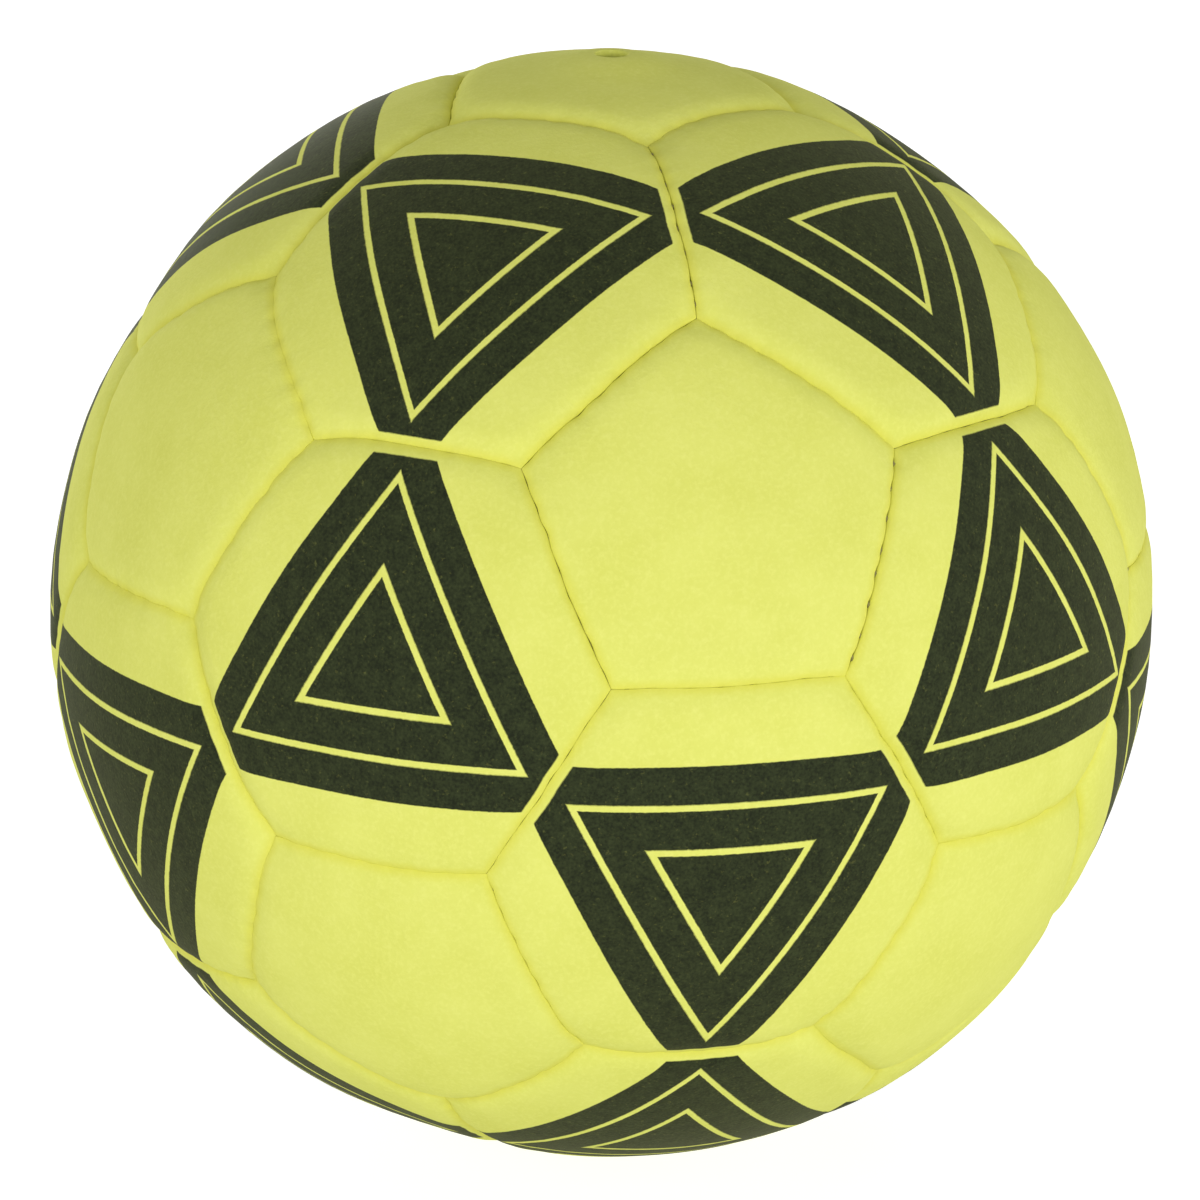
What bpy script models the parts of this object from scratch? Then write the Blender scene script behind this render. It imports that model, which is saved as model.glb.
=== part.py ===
"""Indoor soccer ball, size 5: thirty-two felt panels sewn over an inflated rubber bladder.

Units are metres and +Z is up, through the valve. The origin is the ball's centre, and -Y runs
through the middle of a pentagon, so X = 0 is a mirror plane of the seams.
"""

import math

import bmesh
import bpy
from mathutils import Matrix, Vector

# The ball
BALL_DIAMETER = 0.220  # over the middles of the panels, 691 mm round
CONTACT_DIAMETER = 0.018  # the flat that the base panel takes under the ball's weight

# A panel: felt, foam and lining cloth laminated into one sheet
PANEL_THICKNESS = 0.0034
CROWN_RISE = 0.0012  # how much more a panel swells than the sphere through its shoulders
SHOULDER_DROP = 0.0016  # the rolled shoulder's fall into the seam
SHOULDER_WIDTH = 0.0042
EDGE_THICKNESS = 0.0022  # the turned-in sewing edge, pressed thinner than the panel
EDGE_STAND = 0.0018  # how far that edge stands below the lining
SEAM_GAP = 0.0003  # between two panels along a seam
SEAM_SEGMENTS = 3  # straight pieces along one seam

# The sewing
THREAD_DIAMETER = 0.0008

# The bladder
BLADDER_WALL = 0.0009
BLADDER_SLOPE = 0.0040  # width over which it climbs from a sewing edge to the lining

# The valve
VALVE_HOLE_DIAMETER = 0.0056
VALVE_LIFT = 0.0010  # how far the valve under it raises the panel round the hole
VALVE_FLANGE_DIAMETER = 0.028
VALVE_FLANGE_THICKNESS = 0.0015
VALVE_STEM_DIAMETER = 0.0095
VALVE_STEM_LENGTH = 0.0150  # below the flange
VALVE_BORE_DIAMETER = 0.0036
PLUG_RECESS = 0.0006  # from the panel's face down to the plug's head
PLUG_HEAD_THICKNESS = 0.0008
PLUG_LENGTH = 0.0130
NEEDLE_HOLE_DIAMETER = 0.0011
NEEDLE_HOLE_DEPTH = 0.0080  # below this the slit is pinched shut
NEEDLE_MOUTH_DIAMETER = 0.0020
TURNED_STEPS = 20

FIT = 0.0003  # between pieces that touch
LINING_FIT = 0.0004  # between the bladder or the valve and what presses on it

# Radii from the ball's centre
CROWN_RADIUS = BALL_DIAMETER / 2
SEAM_RADIUS = CROWN_RADIUS - CROWN_RISE - SHOULDER_DROP
FOOT_RADIUS = SEAM_RADIUS + SHOULDER_DROP - PANEL_THICKNESS - EDGE_STAND

# The thread has a square section of the round thread's area. It lies between two sewing edges,
# level with their cut ends, and they lean apart by as much as it needs.
THREAD_HALF_SIDE = THREAD_DIAMETER * math.sqrt(math.pi) / 4
THREAD_REACH = THREAD_HALF_SIDE * math.sqrt(2)
THREAD_RADIUS = FOOT_RADIUS + THREAD_REACH
EDGE_LEAN = (
    (THREAD_REACH + FIT - SEAM_GAP / 2) * (SEAM_RADIUS - FOOT_RADIUS) / (SEAM_RADIUS - THREAD_RADIUS)
)
EDGE_INSET = EDGE_LEAN + EDGE_THICKNESS

# The straight length of a seam, an edge of the truncated icosahedron with its corners at SEAM_RADIUS
SEAM_LENGTH = 4 * SEAM_RADIUS / math.sqrt(58 + 18 * math.sqrt(5))


def new_collection(name):
    collection = bpy.data.collections.new(name)
    bpy.context.scene.collection.children.link(collection)
    return collection


def new_material(name, color, roughness):
    material = bpy.data.materials.new(name)
    material.use_nodes = True
    shader = material.node_tree.nodes["Principled BSDF"]
    shader.inputs["Base Color"].default_value = (*color, 1.0)
    shader.inputs["Roughness"].default_value = roughness
    shader.inputs["Metallic"].default_value = 0.0
    return material


def new_mesh(name, bm, material):
    mesh = bpy.data.meshes.new(name)
    bm.to_mesh(mesh)
    bm.free()
    mesh.materials.append(material)
    mesh.shade_smooth()
    mesh.set_sharp_from_angle(angle=math.radians(50))
    return mesh


def new_part(name, mesh, matrix=None):
    part = bpy.data.objects.new(name, mesh)
    parts.objects.link(part)
    part.matrix_world = matrix or Matrix()
    return part


def verts_of(geometry):
    return [item for item in geometry if isinstance(item, bmesh.types.BMVert)]


def inradius(sides):
    """From a panel's middle to its seams, in the panel's plane."""
    return SEAM_LENGTH / 2 / math.tan(math.pi / sides)


def face_radius(sides, inset):
    """A panel's face, by the distance from its edge: an elliptical shoulder under a parabolic crown."""
    roll = 1 - min(inset / SHOULDER_WIDTH, 1)
    swell = 1 - min(inset / inradius(sides), 1)
    return SEAM_RADIUS + SHOULDER_DROP * math.sqrt(1 - roll**2) + CROWN_RISE * (1 - swell**2)


def lining_radius(sides, inset):
    return face_radius(sides, inset) - PANEL_THICKNESS


def pressed_radius(sides, inset):
    """How far out a piece that presses on the lining may reach, with flat facets in the lining."""
    chords = (inradius(sides) / 2) ** 2 + (SEAM_LENGTH / SEAM_SEGMENTS) ** 2
    return lining_radius(sides, inset) - chords / (8 * SEAM_RADIUS) - LINING_FIT


def flange_radius(reach):
    """The top of the valve's flange, at this reach from the valve's axis. It rises to the hole as the panel does."""
    rise = VALVE_LIFT * max(1 - reach / (inradius(5) / 2), 0)
    return pressed_radius(5, inradius(5) - reach) + rise


def flat_radius(height, reach, radius):
    """The radius, in a flat panel drawn at this height, of a circle that wraps to this reach from its axis."""
    return height * math.tan(math.asin(reach / radius))


def seam_guide():
    """The seam lines: an icosahedron with each corner cut off a third of the way along its edges."""
    bpy.ops.mesh.primitive_ico_sphere_add(subdivisions=1, radius=1)
    guide = bpy.context.object
    guide.name = "seam_guide"
    bm = bmesh.new()
    bm.from_mesh(guide.data)
    bmesh.ops.bevel(
        bm, geom=bm.verts[:], offset=100 / 3, offset_type="PERCENT", affect="VERTICES", segments=1, profile=0.5
    )
    bmesh.ops.rotate(bm, verts=bm.verts[:], cent=(0, 0, 0), matrix=Matrix.Rotation(math.radians(-18), 3, "Z"))
    for vert in bm.verts:
        vert.co = vert.co.normalized() * SEAM_RADIUS
    bm.to_mesh(guide.data)
    bm.free()
    for collection in guide.users_collection:
        collection.objects.unlink(guide)
    guides.objects.link(guide)
    guide.hide_render = True
    guide.display_type = "WIRE"
    return guide


def panel_mesh(name, polygon, middle, material):
    """One panel with its middle along +Z, from the seam guide's polygon.

    Its rings are drawn flat, each scaled to its inset from the edge, with the ring's distance from the
    ball's centre as z. They run from the face's middle over the shoulder, down the turned-in edge and
    back along the lining, and are then wrapped on the ball. The middle is closed, flat or a hole.
    """
    sides = len(polygon.vertices)
    height = polygon.center.length
    reach = inradius(sides)
    rings = [(inset, face_radius(sides, inset)) for inset in (reach / 2, SHOULDER_WIDTH, SHOULDER_WIDTH * 0.3, 0)]
    rings += [(EDGE_LEAN, FOOT_RADIUS), (EDGE_INSET, FOOT_RADIUS)]
    rings += [(inset, lining_radius(sides, inset)) for inset in (EDGE_INSET, reach / 2)]
    lift = VALVE_LIFT if middle == "hole" else 0
    lining_middle = lining_radius(sides, reach) + lift
    round_reach = {"flat": CONTACT_DIAMETER / 2, "hole": VALVE_HOLE_DIAMETER / 2}.get(middle)

    bm = bmesh.new()
    bmesh.ops.create_circle(bm, cap_ends=True, segments=sides, radius=reach / math.cos(math.pi / sides))
    bmesh.ops.subdivide_edges(bm, edges=bm.edges[:], cuts=SEAM_SEGMENTS - 1)
    outline = {vert: vert.co.copy() for vert in bm.verts}
    loop = bm.edges[:]

    def place(verts, inset, radius):
        """Scale a loop of verts to its inset from the panel's edge."""
        for vert in verts:
            vert.co = outline[vert] * (1 - (inset + SEAM_GAP / 2) / reach)
            vert.co.z = radius

    def place_round(verts, radius):
        """Draw a loop of verts on a circle round the panel's axis."""
        for vert in verts:
            vert.co = outline[vert].normalized() * flat_radius(height, round_reach, radius)
            vert.co.z = radius

    def grow(edges):
        """Extrude a loop of edges and return the new loop and its verts."""
        grown = bmesh.ops.extrude_edge_only(bm, edges=edges)["geom"]
        verts = verts_of(grown)
        here = {vert: outline[other] for vert in verts for edge in vert.link_edges
                for other in [edge.other_vert(vert)] if other not in verts}
        outline.update(here)
        new_edges = [e for e in grown if isinstance(e, bmesh.types.BMEdge) and all(v in here for v in e.verts)]
        return new_edges, verts

    def poke(face, radius):
        centre = bmesh.ops.poke(bm, faces=[face])["verts"][0]
        centre.co = (0, 0, radius)

    face = bm.faces[:][0]
    first_loop = loop
    if round_reach:
        place_round(bm.verts[:], CROWN_RADIUS + lift)
        loop, verts = grow(loop)
        place(verts, *rings[0])
    else:
        place(bm.verts[:], *rings[0])
    for ring in rings[1:]:
        loop, verts = grow(loop)
        place(verts, *ring)

    if middle == "hole":
        bmesh.ops.delete(bm, geom=[face], context="FACES_ONLY")
        loop, verts = grow(loop)
        place_round(verts, lining_middle)
        bmesh.ops.bridge_loops(bm, edges=first_loop + loop)
    else:
        lining = bmesh.ops.contextual_create(bm, geom=loop)["faces"][0]
        poke(lining, lining_middle)
        if middle == "closed":
            poke(face, CROWN_RADIUS)

    for vert in bm.verts:
        vert.co = Vector((vert.co.x, vert.co.y, height)).normalized() * vert.co.z
    bmesh.ops.recalc_face_normals(bm, faces=bm.faces[:])
    return new_mesh(name, bm, material)


def panel_group(polygon):
    """The row of panels that a polygon of the seam guide belongs to, by its sides and its height."""
    level = polygon.center.normalized().z
    if len(polygon.vertices) == 5:
        rows = ((0.9, "valve_panel"), (0, "upper_pentagon"), (-0.9, "lower_pentagon"), (-2, "base_panel"))
    else:
        rows = ((0.5, "crown_hexagon"), (0, "upper_hexagon"), (-0.5, "lower_hexagon"), (-2, "base_hexagon"))
    return next(name for lowest, name in rows if level > lowest)


def turn_from_front(polygon):
    """Whole degrees round +Z from the front of the ball."""
    return round(math.degrees(math.atan2(polygon.center.x, -polygon.center.y))) % 360


def panel_frame(polygon, mesh):
    """The turn that brings a panel's middle from +Z, and the corner drawn at +Y, to their places."""
    z = polygon.center.normalized()
    x = mesh.vertices[polygon.vertices[0]].co.cross(z).normalized()
    return Matrix((x, z.cross(x), z)).transposed().to_4x4()


def add_panels(guide, material):
    """One object for each panel, from one mesh for each kind."""
    kinds = {}
    rows = {}
    for polygon in guide.data.polygons:
        rows.setdefault(panel_group(polygon), []).append(polygon)
    for row, polygons in rows.items():
        middle = {"valve_panel": "hole", "base_panel": "flat"}.get(row, "closed")
        for number, polygon in enumerate(sorted(polygons, key=turn_from_front), start=1):
            kind = (len(polygon.vertices), middle)
            if kind not in kinds:
                kinds[kind] = panel_mesh(f"{kind[0]}_sided_{middle}", polygon, middle, material)
            name = f"{row}_{number}" if len(polygons) > 1 else row
            new_part(name, kinds[kind], panel_frame(polygon, guide.data))


def add_thread(name, guide, edges, blocked, material):
    """The thread along these seams as one net, stopping short of the corners that another thread runs through."""
    points = [v.co.normalized() for v in guide.data.vertices]
    stop = (2 * THREAD_REACH + FIT) / THREAD_RADIUS

    bm = bmesh.new()
    made = {}

    def vert_at(key, direction):
        if key not in made:
            made[key] = bm.verts.new(direction * THREAD_RADIUS)
        return made[key]

    for a, b in edges:
        ends = []
        for here, there in ((a, b), (b, a)):
            start = points[here]
            if here in blocked:
                start = start.slerp(points[there], stop / points[here].angle(points[there]))
            ends.append(vert_at((here, there) if here in blocked else here, start))
        middle = vert_at((a, b, "middle"), points[a].slerp(points[b], 0.5))
        bm.edges.new((ends[0], middle))
        bm.edges.new((middle, ends[1]))

    mesh = bpy.data.meshes.new(name)
    bm.to_mesh(mesh)
    bm.free()
    mesh.materials.append(material)
    part = new_part(name, mesh)
    skin = part.modifiers.new("Thread", "SKIN")
    skin.branch_smoothing = 0.0
    skin.use_smooth_shade = True
    for index, vert in enumerate(mesh.skin_vertices[0].data):
        vert.radius = (THREAD_HALF_SIDE, THREAD_HALF_SIDE)
        vert.use_root = index == 0
    flats = part.modifiers.new("Flats", "DECIMATE")
    flats.decimate_type = "DISSOLVE"
    flats.angle_limit = math.radians(1)


def add_sewing(guide, material):
    """A ball is sewn as two halves, which a last thread closes round the middle."""
    halves = {"upper_half_thread": [], "lower_half_thread": [], "closing_thread": []}
    for edge in guide.data.edges:
        ends = tuple(edge.vertices)
        levels = [p.center.z > 0 for p in guide.data.polygons if set(ends) <= set(p.vertices)]
        if levels[0] != levels[1]:
            halves["closing_thread"].append(ends)
        else:
            halves["upper_half_thread" if levels[0] else "lower_half_thread"].append(ends)
    closing = {vertex for ends in halves["closing_thread"] for vertex in ends}
    for name, edges in halves.items():
        add_thread(name, guide, edges, set() if name == "closing_thread" else closing, material)


def add_bladder(guide, material):
    """A skin under the sewing edges that swells into each panel's lining and is open round the valve's stem."""
    bm = bmesh.new()
    bm.from_mesh(guide.data)
    polygons = bm.faces[:]
    sides = {face: len(face.verts) for face in polygons}
    valve_face = max(polygons, key=lambda f: f.calc_center_median().z)
    bmesh.ops.subdivide_edges(bm, edges=bm.edges[:], cuts=1)

    seam_angle = 2 * math.asin(SEAM_LENGTH / 2 / SEAM_RADIUS)
    edge_radius = FOOT_RADIUS * math.cos(seam_angle / 2 / SEAM_SEGMENTS) - LINING_FIT
    radii = {vert: edge_radius for vert in bm.verts}
    under_edge = EDGE_INSET + SEAM_GAP + LINING_FIT
    bmesh.ops.inset_individual(bm, faces=polygons, thickness=under_edge, use_even_offset=True)
    for face in polygons:
        radii.update((vert, edge_radius) for vert in face.verts)
    bmesh.ops.inset_individual(bm, faces=polygons, thickness=BLADDER_SLOPE, use_even_offset=True)
    for face in polygons:
        radii.update((vert, pressed_radius(sides[face], under_edge + BLADDER_SLOPE)) for vert in face.verts)

    height = valve_face.calc_center_median().z
    for reach in (VALVE_FLANGE_DIAMETER / 2 + FIT, VALVE_STEM_DIAMETER / 2 + 2 * FIT):
        seat_radius = flange_radius(reach) - VALVE_FLANGE_THICKNESS - LINING_FIT
        bmesh.ops.inset_individual(bm, faces=[valve_face], thickness=FIT, use_even_offset=True)
        for vert in valve_face.verts:
            around = Vector((vert.co.x, vert.co.y)).normalized() * flat_radius(height, reach, seat_radius)
            vert.co = (*around, height)
            radii[vert] = seat_radius
    for face in polygons:
        if face is not valve_face:
            centre = bmesh.ops.poke(bm, faces=[face])["verts"][0]
            radii[centre] = pressed_radius(sides[face], inradius(sides[face]))
    bmesh.ops.delete(bm, geom=[valve_face], context="FACES_ONLY")

    for vert in bm.verts:
        vert.co = vert.co.normalized() * radii[vert]
    part = new_part("bladder", new_mesh("bladder", bm, material))
    wall = part.modifiers.new("Wall", "SOLIDIFY")
    wall.thickness = BLADDER_WALL
    wall.offset = -1.0
    wall.use_even_offset = True


def add_turned(name, profile, closed, material):
    """A piece turned about Z from a profile of (reach from the axis, height) points, down its outer side."""
    bm = bmesh.new()
    verts = [bm.verts.new((x, 0, z)) for x, z in profile]
    for a, b in zip(verts, verts[1:]):
        bm.edges.new((a, b))
    if closed:
        bm.edges.new((verts[-1], verts[0]))
    part = new_part(name, new_mesh(name, bm, material))
    turn = part.modifiers.new("Turn", "SCREW")
    turn.steps = TURNED_STEPS
    turn.render_steps = TURNED_STEPS
    turn.use_merge_vertices = True
    turn.merge_threshold = 0.00001
    turn.use_smooth_shade = True


def add_valve(body_material, plug_material):
    """A flanged body bonded to the bladder, and the plug pushed into it from the face of the ball."""

    def flange_point(reach, depth):
        return reach, math.sqrt((flange_radius(reach) - depth) ** 2 - reach**2)

    head_top = CROWN_RADIUS + VALVE_LIFT - PLUG_RECESS
    head_foot = head_top - PLUG_HEAD_THICKNESS
    head_reach = VALVE_HOLE_DIAMETER / 2 - FIT
    stem_reach = VALVE_STEM_DIAMETER / 2
    stem_foot = flange_radius(0) - VALVE_FLANGE_THICKNESS - VALVE_STEM_LENGTH
    bore_reach = VALVE_BORE_DIAMETER / 2
    rim = VALVE_FLANGE_DIAMETER / 2
    half = (rim + head_reach) / 2
    chamfer = (stem_reach - bore_reach) / 3
    body = [
        (head_reach, head_foot - FIT),
        flange_point(head_reach, 0),
        flange_point(half, 0),
        flange_point(rim, 0),
        flange_point(rim, VALVE_FLANGE_THICKNESS),
        flange_point(half, VALVE_FLANGE_THICKNESS),
        flange_point(stem_reach, VALVE_FLANGE_THICKNESS),
        (stem_reach, stem_foot + chamfer),
        (stem_reach - chamfer, stem_foot),
        (bore_reach, stem_foot),
        (bore_reach, head_foot - FIT),
    ]
    add_turned("valve_body", body, True, body_material)

    plug_reach = bore_reach - FIT
    plug_foot = head_top - PLUG_LENGTH
    needle = NEEDLE_HOLE_DIAMETER / 2
    mouth = NEEDLE_MOUTH_DIAMETER / 2
    plug = [
        (0, head_top - NEEDLE_HOLE_DEPTH),
        (needle, head_top - NEEDLE_HOLE_DEPTH),
        (needle, head_top - (mouth - needle)),
        (mouth, head_top),
        (head_reach - PLUG_HEAD_THICKNESS / 3, head_top),
        (head_reach, head_top - PLUG_HEAD_THICKNESS / 3),
        (head_reach, head_foot),
        (plug_reach, head_foot),
        (plug_reach, plug_foot + plug_reach / 2),
        (plug_reach / 2, plug_foot),
        (0, plug_foot),
    ]
    add_turned("valve_plug", plug, False, plug_material)


for old in list(bpy.data.objects):
    bpy.data.objects.remove(old, do_unlink=True)

parts = new_collection("indoor_soccer_ball")
guides = new_collection("guides")

felt = new_material("yellow_felt", (0.79, 0.82, 0.14), 0.95)
thread = new_material("waxed_thread", (0.07, 0.07, 0.03), 0.6)
latex = new_material("latex_rubber", (0.55, 0.42, 0.24), 0.5)
valve_rubber = new_material("valve_rubber", (0.05, 0.05, 0.05), 0.6)
plug_rubber = new_material("plug_rubber", (0.58, 0.60, 0.11), 0.6)

seams = seam_guide()
add_panels(seams, felt)
add_sewing(seams, thread)
add_bladder(seams, latex)
add_valve(valve_rubber, plug_rubber)
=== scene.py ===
"""Looks of an indoor ball that is sewn from felt panels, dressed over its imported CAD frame."""

import math

import bpy
import numpy as np
from mathutils import Matrix, Vector


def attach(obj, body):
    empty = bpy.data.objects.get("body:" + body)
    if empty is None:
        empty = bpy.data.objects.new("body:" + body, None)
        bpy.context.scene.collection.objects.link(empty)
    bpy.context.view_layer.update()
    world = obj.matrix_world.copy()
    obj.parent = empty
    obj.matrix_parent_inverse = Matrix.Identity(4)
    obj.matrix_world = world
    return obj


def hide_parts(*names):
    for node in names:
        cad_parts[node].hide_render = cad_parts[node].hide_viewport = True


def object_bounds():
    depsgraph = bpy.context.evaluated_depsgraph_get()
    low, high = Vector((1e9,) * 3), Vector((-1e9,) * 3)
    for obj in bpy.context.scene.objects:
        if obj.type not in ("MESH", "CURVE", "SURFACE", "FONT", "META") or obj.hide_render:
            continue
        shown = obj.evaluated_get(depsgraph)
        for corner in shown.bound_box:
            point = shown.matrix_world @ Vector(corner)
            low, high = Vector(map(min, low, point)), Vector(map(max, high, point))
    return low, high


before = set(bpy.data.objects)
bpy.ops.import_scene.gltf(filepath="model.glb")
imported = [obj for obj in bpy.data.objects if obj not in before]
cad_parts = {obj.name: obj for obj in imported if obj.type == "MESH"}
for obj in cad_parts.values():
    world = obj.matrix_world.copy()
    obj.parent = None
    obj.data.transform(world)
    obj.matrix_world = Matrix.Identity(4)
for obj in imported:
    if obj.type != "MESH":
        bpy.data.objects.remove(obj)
cad_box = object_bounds()

# Where the seams run. A maker cuts twelve pentagons and twenty hexagons with one length of side, and
# sews them so that a pentagon's corner always meets two hexagons. Every size below is in millimetres
# and becomes metres where a mesh is made.
MM = 0.001
SEAM_RADIUS = 107.2  # from the ball's middle to the corners of the flat patterns
SEAM_LENGTH = 4 * SEAM_RADIUS / math.sqrt(58 + 18 * math.sqrt(5))  # the edge of a truncated icosahedron
PENTAGONS = 12
POLAR = 0.5  # height of a panel's middle, on a ball of radius 1, past which it is next to a pole
PENTAGON_ROWS = ("base_panel", "lower_pentagon", "upper_pentagon", "valve_panel")
HEXAGON_ROWS = ("base_hexagon", "lower_hexagon", "upper_hexagon", "crown_hexagon")
chance = np.random.default_rng(4116)


def unit(vectors):
    """Each vector divided by its own length."""
    return vectors / np.linalg.norm(vectors, axis=-1, keepdims=True)


# The pentagons' middles are an icosahedron's corners, one up, one down and two rings of five between.
ring_turn = np.radians(36 * np.arange(10) - 90)
ring_level = (-1.0) ** np.arange(10) / math.sqrt(5)
ring_reach = 2 / math.sqrt(5)
middles = np.vstack([
    [[0, 0, 1]],
    np.stack([ring_reach * np.cos(ring_turn), ring_reach * np.sin(ring_turn), ring_level], axis=1),
    [[0, 0, -1]],
])
beside = [np.flatnonzero(np.isclose(row, 1 / math.sqrt(5))) for row in middles @ middles.T]


def counter_clockwise(hub, others):
    """The neighbours of one middle in their order round it, seen from outside the ball."""
    across = np.cross(middles[hub], middles[others[0]])
    ahead = np.cross(across, middles[hub])
    angles = np.arctan2(middles[others] @ across, middles[others] @ ahead)
    return [int(others[i]) for i in np.argsort(angles)]


def corner(hub, other):
    """A corner of the seams, as a direction: a third of the way from one middle to the next."""
    return unit(2 * middles[hub] + middles[other])


def row_of(middle, rows):
    """The name of a panel's row, of four from the bottom up, by the height of its middle."""
    return rows[np.searchsorted([-POLAR, 0, POLAR], middle[2])]


def turn_from_front(member):
    """A panel's place in its row, in whole degrees from the front round by the right."""
    middle = member[0]
    return round(math.degrees(math.atan2(middle[0], -middle[1]))) % 360


# A panel is the list of its corners, each a pair of middles. On a hexagon every second side, from
# the first on, meets another hexagon, and the sides between them meet pentagons.
panels = {}
rows_of_panels = {}
for hub in range(PENTAGONS):
    round_it = counter_clockwise(hub, beside[hub])
    pentagon = [(hub, other) for other in round_it]
    rows_of_panels.setdefault(row_of(middles[hub], PENTAGON_ROWS), []).append((middles[hub], pentagon))
    for b, c in zip(round_it, round_it[1:] + round_it[:1]):
        if hub < min(b, c):
            middle = unit(middles[hub] + middles[b] + middles[c])
            hexagon = [(hub, b), (b, hub), (b, c), (c, b), (c, hub), (hub, c)]
            rows_of_panels.setdefault(row_of(middle, HEXAGON_ROWS), []).append((middle, hexagon))
for row, members in rows_of_panels.items():
    members.sort(key=turn_from_front)
    for number, (middle, ids) in enumerate(members, start=1):
        panels[f"{row}_{number}" if len(members) > 1 else row] = ids

# Hand sewing draws the corners a little out of place, by chance, and the felt near each goes with it.
# A few have gone further, by these millimetres to the east and towards the valve.
DRAWN = 0.25
DRAWN_SPREAD = 22.0
tension = np.random.default_rng(7)
corner_pairs = [(hub, int(other)) for hub in range(PENTAGONS) for other in beside[hub]]
gone = dict(zip(corner_pairs, tension.normal(0, DRAWN, (len(corner_pairs), 2)).tolist()))
gone.update({
    (0, 1): (-0.5, 3.0), (0, 9): (-1.0, 1.5), (1, 0): (0.0, 1.0), (2, 10): (0.0, -1.0), (9, 0): (2.0, -1.0),
    (9, 1): (1.0, 0.0), (9, 7): (0.5, -1.5), (9, 10): (1.5, 1.0), (10, 2): (-1.0, -2.5), (10, 8): (0.5, -1.0),
})
corner_rays = np.array([corner(*pair) for pair in corner_pairs])
east = unit(np.cross([0, 0, 1], corner_rays))
to_valve = np.cross(corner_rays, east)
gone_east, gone_to_valve = np.array([gone[pair] for pair in corner_pairs]).T[..., None]
corner_shifts = gone_east * east + gone_to_valve * to_valve


def drawn(rays):
    """Rays that have moved with the felt: each corner takes those near it along by
    shift * exp(-(distance / spread)^2)."""
    distance = SEAM_RADIUS * np.arccos(np.clip(rays @ corner_rays.T, -1, 1))
    return unit(rays + np.exp(-(distance / DRAWN_SPREAD) ** 2) @ corner_shifts / SEAM_RADIUS)


# Eight stitches pull on each seam, a little unevenly. The seam wanders between its ends, in three waves,
# and jogs to one side at each stitch.
STITCHES = 8
STITCH_STRAY = 0.022  # as a share of the seam's length
STITCH_PULL = (0.5, 1.3)
WANDER = (0.34, 0.16, 0.10)
JOG = 0.12
TIGHTNESS = 8  # the power that leaves most seams drawn shut
VALLEY_DEPTH = (0.5, 1.0)  # as a share of the shoulders' fall
seams = {}
for ids in panels.values():
    for ends in zip(ids, ids[1:] + ids[:1]):
        seams.setdefault(tuple(sorted(ends)), {})
for ends in sorted(seams):
    places = (np.arange(STITCHES) + 0.5) / STITCHES + chance.uniform(-STITCH_STRAY, STITCH_STRAY, STITCHES)
    seams[ends] = {
        "stitches": places * SEAM_LENGTH,
        "pull": chance.uniform(*STITCH_PULL, STITCHES),
        "wander": chance.normal(0, 1, len(WANDER)) * WANDER,
        "jog": tension.normal(0, JOG, STITCHES),
        # 0 where the edges are drawn shut, 1 where the thread shows between them
        "slack": chance.uniform(0, 1) ** TIGHTNESS,
        "depth": chance.uniform(*VALLEY_DEPTH),
        "over": [name for name, ids in panels.items() if ends[0] in ids and ends[1] in ids],
    }

# A few seams bow further to one side, by these millimetres at their middles, and two run straight.
bowed = {
    ((0, 1), (0, 3)): -1.0, ((0, 1), (0, 9)): 1.0, ((1, 2), (1, 3)): 0.0, ((1, 2), (1, 10)): 0.0,
    ((1, 0), (1, 9)): 0.3, ((2, 10), (10, 2)): -1.0, ((9, 0), (9, 7)): -1.0, ((10, 1), (10, 2)): 0.7,
    ((10, 2), (10, 11)): -0.7,
}
for ends, bow in bowed.items():
    seams[ends]["wander"][0] = bow

# Two seams gape and show their thread, some are a little slack, and some are drawn shut.
slackened = {
    ((1, 2), (1, 3)): 0.9, ((0, 1), (1, 0)): 0.8, ((1, 9), (1, 10)): 0.3, ((1, 0), (1, 9)): 0.25,
    ((10, 1), (10, 2)): 0.25, ((1, 10), (10, 1)): 0.15, ((1, 3), (3, 1)): 0.15, ((1, 2), (1, 10)): 0.1,
    ((0, 9), (9, 0)): 0.0, ((2, 1), (2, 10)): 0.0, ((2, 10), (10, 2)): 0.0, ((3, 1), (3, 2)): 0.0,
    ((9, 8), (9, 10)): 0.0,
}
for ends, slack in slackened.items():
    seams[ends]["slack"] = slack

# Felt panels. Short-nap felt on foam and lining cloth, die-cut, printed flat and sewn with the
# edges turned in. The bladder pulls each panel tight and crowns it, and its shoulders roll
# down into the seams. Hand sewing leaves the shoulders slightly puckered at each stitch.
PANEL_THICKNESS = 3.4
VALLEY_RADIUS = 107.85  # where two felt edges press together, halfway along the deepest seams
SHOULDER_DROP = 1.8
SHOULDER_WIDTH = 5.6
SHOULDER_ROLL = (0.95, 0.60)  # from shut seams to slack ones, where 0.5 is a quarter ellipse and 1 a parabola
ROLL_LOSS = 1.1  # how fast the roll goes from the first to the second as a seam slackens
CROWN_RISE = 0.15
CROWN_POWER = 7  # a high power keeps the polygon's outline in the crown, and a low one rounds it
SWELL = 0.2  # that a panel may crown more or less than the rest
CORNER_DIP = 0.9  # where three seams meet, they pull the felt in
CORNER_SPREAD = 6.5
VALVE_HOLE_RADIUS = 2.8
VALVE_SWELL = 0.8
VALVE_LIFT = 1.5  # the valve under it raises the top panel round its hole
VALVE_LIFT_REACH = 14.9
FLOOR_LEVEL = cad_box[0].z / MM

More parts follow.
